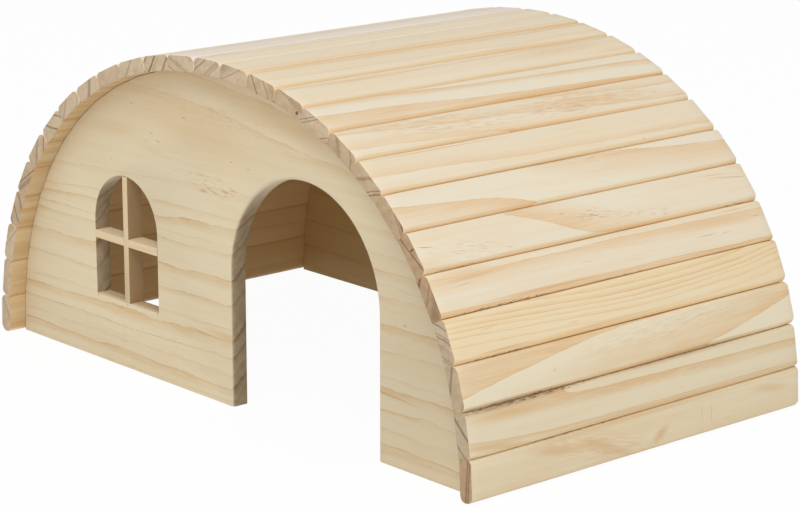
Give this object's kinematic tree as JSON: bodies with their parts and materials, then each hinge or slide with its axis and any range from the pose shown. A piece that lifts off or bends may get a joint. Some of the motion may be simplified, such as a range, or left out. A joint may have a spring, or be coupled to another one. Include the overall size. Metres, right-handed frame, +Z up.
{
  "type": "wooden hamster house",
  "caption": "Arched small-pet house of plain pine: a slatted round roof over a front wall with a doorway and a cross-barred window, and a closed back wall; open below.",
  "frame": {"origin": "on the ground, under the middle of the house's overall box", "axes": "+X to the right of someone facing the doorway, +Y from the front to the back along the slats, so the front faces -Y, and +Z up"},
  "size_m": [0.2822, 0.165, 0.1311],
  "materials": {
    "panel_pine": "planed and sanded bare pine, matt",
    "slat_pine": "planed bare pine with rounded edges and sawn ends, matt",
    "bar_pine": "sawn bare pine, matt"
  },
  "bodies": {
    "root": {"front_wall": "panel_pine", "back_wall": "panel_pine", "window_upright_bar": "bar_pine", "window_cross_bar": "bar_pine", "slat_01": "slat_pine", "slat_02": "slat_pine", "slat_03": "slat_pine", "slat_04": "slat_pine", "slat_05": "slat_pine", "slat_06": "slat_pine", "slat_07": "slat_pine", "slat_08": "slat_pine", "slat_09": "slat_pine", "slat_10": "slat_pine", "slat_11": "slat_pine", "slat_12": "slat_pine", "slat_13": "slat_pine", "slat_14": "slat_pine", "slat_15": "slat_pine", "slat_16": "slat_pine", "slat_17": "slat_pine", "slat_18": "slat_pine", "slat_19": "slat_pine", "slat_20": "slat_pine", "slat_21": "slat_pine", "slat_22": "slat_pine", "slat_23": "slat_pine", "slat_24": "slat_pine", "slat_25": "slat_pine", "slat_26": "slat_pine", "slat_27": "slat_pine"}
  },
  "joints": []
}
